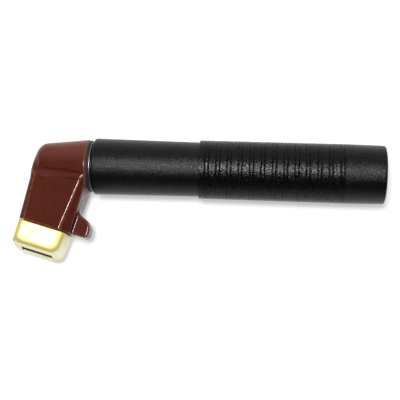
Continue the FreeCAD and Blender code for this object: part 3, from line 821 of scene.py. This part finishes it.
def metal(name, base, dark, rough, strength=0.12):
    """Metal with fine marks of its making, handled patches and small dull stains."""
    m = Shader(name, Metallic=1.0)
    tarnish = m.between(m.cloud(140, 5, 0.65), 0.42, 0.75)
    colour = m.blend(m.maths("MULTIPLY", tarnish, 0.5), base, dark)
    marks = m.cloud(1200, 3, 0.6)
    colour = m.blend(m.maths("MULTIPLY", m.between(marks, 0.55, 0.8), 0.3), colour, dark)
    roughness = m.between(m.cloud(230, 4, 0.7), 0.3, 0.75, rough - 0.07, rough + 0.1)
    normal = m.bump(marks, strength, 0.0001)
    return m.finish(colour, roughness, normal)


def turned_metal(name, base, dark, rough):
    """Metal turned on a lathe: fine rings round the handle's axis."""
    m = Shader(name, Metallic=1.0)
    tarnish = m.between(m.cloud(150, 4, 0.6), 0.45, 0.75)
    colour = m.blend(m.maths("MULTIPLY", tarnish, 0.45), base, dark)
    rings = m.cloud(1, 2, 0.6, m.around(4200))
    roughness = m.between(m.cloud(260, 3, 0.6), 0.3, 0.75, rough - 0.06, rough + 0.1)
    normal = m.bump(rings, 0.25, 0.00006)
    return m.finish(colour, roughness, normal)


def dull_black(name, base, dark, rough):
    """Fibre, bushes and blackened screws."""
    m = Shader(name, IOR=1.33)
    colour = m.blend(m.between(m.cloud(300, 4, 0.7), 0.3, 0.7), dark, base)
    roughness = m.between(m.cloud(500, 3, 0.6), 0.3, 0.7, rough - 0.08, rough + 0.08)
    normal = m.bump(m.cloud(2200, 3, 0.7), 0.3, 0.00012)
    return m.finish(colour, roughness, normal)


brown = moulded_brown()
black = satin_black()
rubber = pebbled_rubber()
brass = cast_brass()
materials = {
    "brown_insulation": brown,
    "black_moulding": black,
    "grip_rubber": rubber,
    "brass": brass,
    "copper": metal("copper_machined", (0.85, 0.48, 0.33), (0.55, 0.27, 0.17), 0.30),
    "bronze": metal("bronze_cast", (0.74, 0.54, 0.31), (0.45, 0.30, 0.15), 0.36, strength=0.3),
    "steel": turned_metal("steel_ground", (0.58, 0.58, 0.60), (0.34, 0.33, 0.33), 0.26),
    "spring_steel": metal("spring_steel_oiled", (0.26, 0.26, 0.28), (0.13, 0.12, 0.11), 0.30),
    "plated_steel": turned_metal("steel_plated", (0.25, 0.26, 0.27), (0.14, 0.14, 0.14), 0.40),
    "black_fibre": dull_black("fibre_black", (0.020, 0.020, 0.020), (0.010, 0.010, 0.010), 0.60),
    "screw_black": dull_black("screw_blackened", (0.004, 0.004, 0.004), (0.002, 0.002, 0.002), 0.62),
}
sooty = metal("jaw_sooty", (0.10, 0.075, 0.05), (0.02, 0.018, 0.016), 0.5, strength=0.3)
stem_brass = turned_metal("brass_turned", (0.62, 0.50, 0.27), (0.40, 0.30, 0.14), 0.30)
for name, obj in nodes.items():
    for holder in obj.material_slots:
        label = holder.material.name.split(".")[0] if holder.material else ""
        holder.material = materials.get(label, black)
for name in ("conductor_stem", "drive_nut", "follower_ring"):
    for holder in nodes[name].material_slots:
        holder.material = stem_brass
for name in ("jaw_lever", "jaw_contact", "fixed_contact"):
    for holder in nodes[name].material_slots:
        holder.material = sooty

make_head(brown)
make_core(brass)
make_tube(black)
make_grip(rubber)
make_ring("front_washer", "head", "black_fibre", materials["black_fibre"], "insulating_washer", [
    (HEAD_END, 10.0, 0), (HEAD_END, 16.5, 0.2), (HEAD_END + 0.88, 16.5, 0.2), (HEAD_END + 0.88, 10.0, 0),
])
make_ring("front_collar", "head", "plated_steel", materials["plated_steel"], "collar_ring", [
    (HEAD_END + 0.9, 10.0, 0), (HEAD_END + 0.9, 15.9, 0.3), (HEAD_END + 1.7, 15.9, 0.3),
    (HEAD_END + 1.7, 10.0, 0),
])
make_ring("front_bearing", "handle", "black_fibre", materials["black_fibre"], "front_bush", [
    (HANDLE_FRONT - 0.5, 10.06, 0.2), (HANDLE_FRONT - 0.5, TUBE_BORE, 0.3),
    (HANDLE_FRONT + 11, TUBE_BORE, 0.3), (HANDLE_FRONT + 11, 10.06, 0.2),
])
make_ring("mouth_bush", "handle", "black_moulding", black, "cable_end_bush", [
    (-18.6, 11.0, 0.3), (-18.6, MOUTH_BORE, 0.2), (0, MOUTH_BORE, 0.25), (0, 11.0, 0.8),
])
blackened = materials["screw_black"]
make_screw("front_socket_screw", "front_handle_screw", FRONT_SCREW_X, 13.2, 17.4, blackened)
make_screw("rear_socket_screw", "rear_handle_screw", REAR_SCREW_X, 12.0, 18.2, blackened)


# ---- Stage, light and camera --------------------------------------------------------------------------
def make_floor():
    """Pale paper that glows a little, as if it were lit from outside the picture."""
    reach = 6000
    z = -18.85
    corners = [(-reach, -reach, z), (reach, -reach, z), (reach, reach, z), (-reach, reach, z)]
    obj = add_mesh("floor", corners, [(0, 1, 2, 3)])
    m = Shader("floor_paper", Roughness=0.9, Specular_IOR_Level=0.0)
    m.surface.inputs["Emission Color"].default_value = (0.97, 0.985, 1.0, 1.0)
    m.surface.inputs["Emission Strength"].default_value = 0.53
    colour = m.blend(m.cloud(3, 2, 0.5), (0.40, 0.405, 0.41), (0.43, 0.43, 0.43))
    obj.data.materials.append(m.finish(colour))


def disk_light(name, spot, target, size, power):
    light = bpy.data.lights.new(name, "AREA")
    light.energy = power
    light.shape = "DISK"
    light.size = size * MM
    obj = bpy.data.objects.new(name, light)
    bpy.context.scene.collection.objects.link(obj)
    obj.location = Vector(spot) * MM
    obj.rotation_euler = (Vector(target) - Vector(spot)).to_track_quat("-Z", "Y").to_euler()


make_floor()
disk_light("overhead", (-150, -20, 1000), (-130, -20, 0), 240, 13.0)

# The room is bright towards +Y and dark towards -Y; what the camera itself sees of it is plain.
world = bpy.data.worlds.new("studio")
bpy.context.scene.world = world
world.use_nodes = True
tree = world.node_tree
tree.nodes.clear()
out = tree.nodes.new("ShaderNodeOutputWorld")
seen = tree.nodes.new("ShaderNodeBackground")
seen.inputs["Color"].default_value = (0.93, 0.935, 0.94, 1)
room = tree.nodes.new("ShaderNodeBackground")
direction = tree.nodes.new("ShaderNodeSeparateXYZ")
tree.links.new(tree.nodes.new("ShaderNodeTexCoord").outputs["Generated"], direction.inputs[0])
glow = tree.nodes.new("ShaderNodeMapRange")
glow.interpolation_type = "SMOOTHSTEP"
for label, number in (("From Min", 0.05), ("From Max", 0.75), ("To Min", 0.03), ("To Max", 0.80)):
    glow.inputs[label].default_value = number
tree.links.new(direction.outputs[1], glow.inputs["Value"])
tree.links.new(glow.outputs["Result"], room.inputs["Strength"])
room.inputs["Color"].default_value = (0.97, 0.99, 1.0, 1)
path = tree.nodes.new("ShaderNodeLightPath")
choose = tree.nodes.new("ShaderNodeMixShader")
tree.links.new(path.outputs["Is Camera Ray"], choose.inputs[0])
tree.links.new(room.outputs[0], choose.inputs[1])
tree.links.new(seen.outputs[0], choose.inputs[2])
tree.links.new(choose.outputs[0], out.inputs["Surface"])

# The camera looks down at the middle of the picture, leaning a little to one side and rolled a little.
camera_data = bpy.data.cameras.new("camera")
camera_data.lens = 82.8
camera_data.sensor_width = 36
camera_data.clip_end = 20
camera = bpy.data.objects.new("camera", camera_data)
bpy.context.scene.collection.objects.link(camera)
back = Vector((0.0793698, -0.1767621, 1.0)).normalized()
level = (Vector((1, 0, 0)) - back * back.x).normalized()
roll = 0.0323948
right = level * math.cos(roll) + back.cross(level) * math.sin(roll)
up = back.cross(right)
target = Vector((-115.561, -19.72, 0))
distance = 583.853
camera.matrix_world = Matrix.LocRotScale(
    (target + back * distance) * MM, Matrix((right, up, back)).transposed().to_quaternion(), None)
bpy.context.scene.camera = camera
bpy.context.scene.view_settings.view_transform = "Standard"
